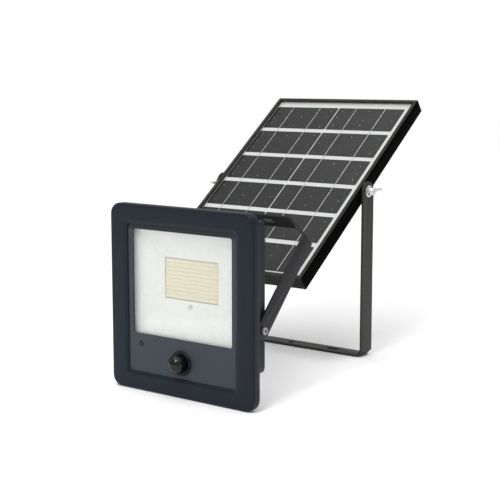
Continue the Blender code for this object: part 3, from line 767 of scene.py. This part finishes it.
def led_field():
    """Rows of yellow phosphor pads, each one softly domed, on the cream dam that frames them."""
    low, high = local_box("led_array", LAMP_BACK)
    step_x = (high.x - low.x) / LED_COLUMNS
    step_z = (high.z - low.z) / LED_ROWS
    dam_front = high.y - DAM_DEPTH
    pads = []
    for row in range(LED_ROWS):
        for column in range(LED_COLUMNS):
            x = low.x + column * step_x
            z = low.z + row * step_z
            pads.append(led_pad(
                x + LED_MARGIN[0], x + step_x - LED_MARGIN[0],
                z + LED_MARGIN[1], z + step_z - LED_MARGIN[1], low.y, dam_front,
            ))
    make("led_pads", gathered(pads), LAMP, "phosphor", "head", ())
    dam = slab((low.x, dam_front, low.z), high)
    make("led_dam", dam, LAMP, "dam", "head",
         ["led_array"], bevel=0.0002, segments=2)


def led_board():
    """The white board behind the tray, seen as a hair's breadth round the yellow field."""
    board = slab(*local_box("led_board", LAMP_BACK))
    make("led_board_mask", board, LAMP, "board_white", "head",
         ["led_board"], bevel=0.0002, segments=2)


def pan_screw(radius, rise, shank, length):
    """A pan-head screw about Z: its head stands at +z, with a shallow ring round a sunken centre."""
    round_r = rise * 0.8
    sunk = rise * 0.45
    profile = [(0, -length), (shank, -length), (shank, 0), (radius, 0)]
    profile += arc((radius - round_r, rise - round_r), round_r, 0, 90, 5)
    return profile + [(radius * 0.55, rise), (radius * 0.44, sunk), (0, sunk)]


def board_screw():
    """The small screw in the lower slope of the tray, just under the yellow field."""
    rise = LED_HOLE[1] - (TRAY_RIM[1] + SLOPE_START[0])
    slope = math.atan2(TRAY_FLOOR - (TRAY_FRONT + SLOPE_START[1]), rise)
    depth = TRAY_FLOOR - (LED_HOLE[1] - BOARD_SCREW_Z) * math.tan(slope)
    screw = pan_screw(radius=0.0031, rise=0.0009, shank=0.0013, length=0.0012)
    profile = [(radius, -out) for radius, out in screw]
    place = Matrix.Translation((0, depth, BOARD_SCREW_Z)) @ Matrix.Rotation(-slope, 4, "X")
    make("board_screw", turned(profile, "Y"), LAMP @ place, "tin", "head", ())


def motion_sensor():
    """Glossy dome with a rounded collar stepped round it."""
    low, high = local_box("pir_dome", LAMP_BACK)
    centre = (0, 0, PIR_Z)
    radius = (high.x - low.x) / 2
    shell = 0.001
    middle = low.y + radius
    profile = [(radius, high.y)] + arc((0, middle), radius, 0, -90, 20)[:-1]
    profile += [(0, low.y), (0, low.y + shell)]
    profile += arc((0, middle), radius - shell, -90, 0, 14)[1:] + [(radius - shell, high.y)]
    make("sensor_dome", turned(profile, "Y", centre, 72), LAMP, "gloss", "head",
         ["pir_dome"])

    bore = radius + GAP
    front, groove, seat, back = 0.0013, 0.0019, PLATE_FRONT - GAP, 0.008
    flange_r, flange_round, sleeve_r = 0.0162, 0.0007, 0.0141
    ring = [
        (bore, front + 0.0004), (bore + 0.0004, front), (bore + 0.0014, front),
        (bore + 0.0018, groove), (bore + 0.0022, groove),
    ]
    ring += arc((flange_r - flange_round, front + flange_round), flange_round, -90, 0, 4)
    ring += [(flange_r, seat), (sleeve_r, seat), (sleeve_r, back), (bore, back)]
    make("sensor_collar", turned(ring, "Y", centre, 72), LAMP, "plastic", "head",
         ["pir_collar"])


def remote_receiver():
    """A small dark lens, slightly domed."""
    low, high = local_box("ir_window", LAMP_BACK)
    radius = (high.x - low.x) / 2
    crown = 0.0008
    profile = [(0, high.y), (radius, high.y)]
    for across, rise in arc((0, 0), 1.0, 0, 90, 6)[:-1]:
        profile.append((radius * across, low.y + crown * (1 - rise)))
    profile.append((0, low.y))
    lens = turned(profile, "Y", (IR_PLACE[0], 0, IR_PLACE[1]), 32)
    make("receiver_lens", lens, LAMP, "plastic", "head", ["ir_window"])


def casing():
    make("finned_casing", from_node("rear_casing"), HERE, "anthracite", "head",
         ["rear_casing"], bevel=0.0006)


def casing_screws():
    """Pan-head screws at the casing's corners, driven in from behind."""
    for number in range(1, 5):
        low, high = local_box(f"casing_screw_{number}", LAMP_BACK)
        middle = (low + high) / 2
        profile = pan_screw(
            radius=0.0029, rise=high.y - BEZEL_DEPTH, shank=0.0015, length=BEZEL_DEPTH - low.y
        )
        screw = turned(profile, "Y", (middle.x, BEZEL_DEPTH, middle.z), 32)
        make(f"flange_screw_{number}", screw, LAMP, "zinc", "head",
             [f"casing_screw_{number}"])


def towards(sign, profile):
    """A profile of the right side's part about the X axis, turned to the left for a sign of -1."""
    return [(radius, sign * along) for radius, along in profile]


def pivot_bolts():
    """Bolts at the yoke's ends, with domed heads and a round socket."""
    for side, sign in SIDES:
        tail, tip = reach(f"pivot_bolt_{side}", HEAD_TILT)
        seat = YOKE_OUT + GAP
        floor = tip - SOCKET_DEPTH
        profile = [(0, tail), (BOLT_SHANK_R, tail), (BOLT_SHANK_R, seat), (BOLT_HEAD_R, seat)]
        profile += arc((BOLT_HEAD_R - BOLT_ROUND, tip - BOLT_ROUND), BOLT_ROUND, 0, 90, 5)
        profile += [(SOCKET_R, tip), (SOCKET_FLOOR_R, floor), (0, floor)]
        make(f"pivot_screw_{side}", turned(towards(sign, profile), "X"), HEAD_AXIS, "steel", "head",
             [f"pivot_bolt_{side}"])


def yoke():
    """The strap; the face of its crossbar that looks at the head gets a darker copy of its paint, painted
    shade.
    """
    made = make("yoke_strap", from_node("lamp_yoke"), HERE, "yoke", "yoke",
                ["lamp_yoke"], bevel=0.0005)
    # Painted shade: the crossbar's face towards the head takes the darker copy of the yoke paint.
    second_look(made, "yoke_painted_shade", YOKE_INWARD, 0.95)


# ---------------------------------------------------------------- solar panel
MITRE_PLAY = 0.00019  # along a rail, from its end to the middle of the mitre
BUSBARS = (0.27, 0.71)  # where the ribbons lie across each cell, as shares of its width
RIBBON_W = 0.0009
RIBBON_H = 0.00012
RIBBON_INSET = 0.001
CELL_CLIP = 0.0012
SPOT_LINES = (0.07, 0.49, 0.91)  # where the solder spots lie across each cell
SPOTS_ON_LINE = 3


def close_mitres(mesh, along):
    """Moves both ends of a rail out along its length, so that the mitres show as hairlines only."""
    bmesh.ops.transform(mesh, matrix=PANEL_BACK, verts=mesh.verts)
    for vertex in mesh.verts:
        out = 1 if vertex.co.dot(along) > 0 else -1
        vertex.co += along * out * MITRE_PLAY
    bmesh.ops.transform(mesh, matrix=PANEL, verts=mesh.verts)


def rails():
    """Four mitred rails; the outer side walls of the long ones get a near-black copy of the frame paint,
    painted shade.
    """
    across, up = Vector((1, 0, 0)), Vector((0, 1, 0))
    for side, along, wall in (
        ("bottom", across, None), ("top", across, None), ("left", up, -across), ("right", up, across)
    ):
        mesh = from_node(f"frame_{side}")
        close_mitres(mesh, along)
        made = make(f"rail_{side}", mesh, HERE, "frame", "panel",
                    [f"frame_{side}"], bevel=0.0003, segments=2)
        if wall is not None:
            # Painted shade: the outer side wall takes the near-black copy of the frame paint.
            second_look(made, "frame_painted_shade", wall, 0.9)


def cell_slab(low, high):
    """A wafer with small clipped corners."""
    loops = []
    for z in (low.z, high.z):
        loops.append([
            Vector((low.x + CELL_CLIP, low.y, z)), Vector((high.x - CELL_CLIP, low.y, z)),
            Vector((high.x, low.y + CELL_CLIP, z)), Vector((high.x, high.y - CELL_CLIP, z)),
            Vector((high.x - CELL_CLIP, high.y, z)), Vector((low.x + CELL_CLIP, high.y, z)),
            Vector((low.x, high.y - CELL_CLIP, z)), Vector((low.x, low.y + CELL_CLIP, z)),
        ])
    return loft(loops)


def solder_spot(x, y, base, radius):
    profile = [(0, base), (radius, base), (radius * 0.6, base + 0.00014), (0, base + 0.00016)]
    return turned(profile, "Z", (x, y, 0), 8)


def cell_spots(low, high, chance):
    """Solder spots on one cell, each a little off its line."""
    spots = []
    for share in SPOT_LINES:
        for step in range(SPOTS_ON_LINE):
            x = low.x + (high.x - low.x) * (share + chance.uniform(-0.012, 0.012))
            y = low.y + (high.y - low.y) * (step + chance.uniform(0.3, 0.7)) / SPOTS_ON_LINE
            spots.append(solder_spot(x, y, high.z, chance.uniform(0.00035, 0.0008)))
    return spots


def cells():
    """The cells, the ribbons that join each column, and small solder spots on them."""
    wafers, nodes, spots, ribbons = [], [], [], []
    chance = random.Random(11)
    for column in (1, 2):
        own_nodes = [f"solar_cell_{row}_{column}" for row in range(1, 7)]
        nodes += own_nodes
        boxes = [local_box(node, PANEL_BACK) for node in own_nodes]
        for low, high in boxes:
            wafers.append(cell_slab(low, high))
            spots += cell_spots(low, high, chance)
        bottom = min(low.y for low, _ in boxes) + RIBBON_INSET
        top = max(high.y for _, high in boxes) - RIBBON_INSET
        low, high = boxes[-1]
        for share in BUSBARS:
            x = low.x + share * (high.x - low.x)
            ribbons.append(slab((x - RIBBON_W / 2, bottom, high.z),
                                (x + RIBBON_W / 2, top, high.z + RIBBON_H)))
    make("silicon_cells", gathered(wafers), PANEL, "silicon", "panel", nodes)
    make("cell_ribbons", gathered(ribbons), PANEL, "tin", "panel", ())
    make("solder_spots", gathered(spots), PANEL, "tin", "panel", ())


# ---------------------------------------------------------------- bracket and tilt hardware
WASHER_R = 0.0085
WASHER_EDGE = 0.0003
WASHER_BACK = STRAP_OUT + 0.0015
THREAD_START = STRAP_OUT + 0.0016
THREAD_R = 0.0025
THREAD_ROOT_R = 0.0021
THREAD_TURNS = 12
THREAD_CHAMFER = 0.0006
STUD_HEAD_R = 0.0036
STUD_HEAD = 0.0028
STUD_HEAD_CHAMFER = (0.0006, 0.0008)  # in, and along


def bracket():
    make("bracket_strap", from_node("panel_bracket"), HERE, "bracket", "bracket",
         ["panel_bracket"], bevel=0.0006)


def flat_washer(side, sign):
    low, high = STRAP_OUT + GAP, WASHER_BACK
    edge = WASHER_EDGE
    washer = [
        (0.0028, low), (WASHER_R - edge, low), (WASHER_R, low + edge),
        (WASHER_R, high - edge), (WASHER_R - edge, high), (0.0030, high),
    ]
    make(f"flat_washer_{side}", turned(towards(sign, washer), "X"), TILT_AXIS, "zinc", "panel",
         [f"tilt_washer_{side}"])


def threaded_stud(side, sign):
    """A stud with a chamfered head at its inner end and rings of thread outside the bracket."""
    tail, tip = reach(f"tilt_stud_{side}", PANEL_TILT)
    inward, along = STUD_HEAD_CHAMFER
    stud = [
        (0, tail), (STUD_HEAD_R - inward, tail), (STUD_HEAD_R, tail + along),
        (STUD_HEAD_R, tail + STUD_HEAD), (THREAD_R, tail + STUD_HEAD),
    ]
    end = tip - THREAD_CHAMFER
    pitch = (end - THREAD_START) / THREAD_TURNS
    for turn in range(THREAD_TURNS):
        stud.append((THREAD_R, THREAD_START + turn * pitch))
        stud.append((THREAD_ROOT_R, THREAD_START + (turn + 0.5) * pitch))
    stud += [(THREAD_R, end), (0.0018, tip), (0, tip)]
    make(f"threaded_stud_{side}", turned(towards(sign, stud), "X"), TILT_AXIS, "zinc", "panel",
         [f"tilt_stud_{side}"])


def tilt_hardware():
    """Washer, stud and wing nut on each side."""
    for side, sign in SIDES:
        nut = f"wing_nut_{side}"
        flat_washer(side, sign)
        threaded_stud(side, sign)
        make(f"{nut}_cast", from_node(nut), HERE, "zinc", nut, [nut], bevel=0.0006)


# ---------------------------------------------------------------- small parts
def small_black_fittings():
    """Junction box, glands, vent and pivot washers, with their edges rounded."""
    for node, name, body in (
        ("junction_box", "junction_case", "panel"),
        ("junction_lid", "junction_cover", "panel"),
        ("junction_gland", "panel_gland", "panel"),
        ("lamp_gland", "gland_body", "head"),
        ("lamp_gland_nut", "gland_cap", "head"),
        ("vent_plug", "vent_cap", "head"),
        ("pivot_washer_left", "pivot_spacer_left", "head"),
        ("pivot_washer_right", "pivot_spacer_right", "head"),
    ):
        make(name, from_node(node), HERE, "plastic", body,
             [node], bevel=0.0004, segments=2)


def carried_nodes():
    """CAD nodes whose shape stays as it is, each with its own material."""
    for node, look in (
        ("backsheet", "backsheet"), ("panel_glass", "panel_glass"),
        ("pir_board", "board"), ("controller_board", "board"), ("pir_sensor", "zinc"),
        ("ir_receiver", "plastic"), ("battery_tray", "plastic"), ("battery_cell_1", "sleeve"),
        ("battery_cell_2", "sleeve"), ("battery_cell_3", "sleeve"),
    ):
        data = frame["nodes"][node].data
        data.materials.clear()
        data.materials.append(LOOKS[look])


make_camera()
make_world()
make_lights()
make_floor(studio_floor("studio_floor"))
front_bezel()
front_plate()
light_window()
reflector_tray()
led_field()
led_board()
board_screw()
motion_sensor()
remote_receiver()
casing()
casing_screws()
pivot_bolts()
yoke()
rails()
cells()
bracket()
tilt_hardware()
small_black_fittings()
carried_nodes()
